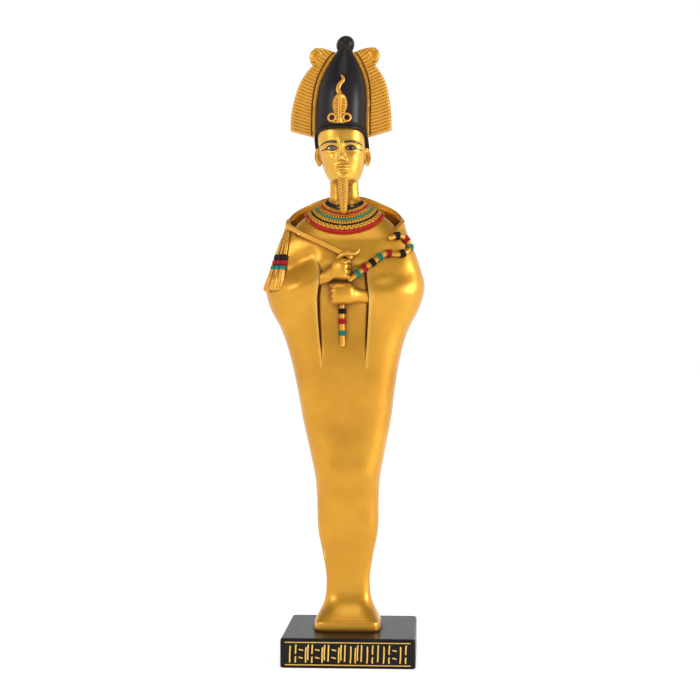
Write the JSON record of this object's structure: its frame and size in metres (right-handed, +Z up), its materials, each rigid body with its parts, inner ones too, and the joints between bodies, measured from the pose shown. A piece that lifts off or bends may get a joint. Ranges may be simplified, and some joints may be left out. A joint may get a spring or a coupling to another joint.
{
  "type": "figurine",
  "caption": "Standing shrouded king figurine with a tall plumed crown, plaited beard, broad collar, crossed fists, crook and flail, on a square plinth.",
  "frame": {"origin": "centre of the plinth's underside", "axes": "+Z up through the figure to the crown's tip; the figure faces -Y; +X is towards its left hand's side, the viewer's right"},
  "size_m": [0.0784, 0.0644, 0.3055],
  "materials": {
    "gold_paint": "satin",
    "black_paint": "satin"
  },
  "bodies": {
    "root": {"figure": "gold_paint", "plinth": "black_paint"}
  },
  "joints": []
}
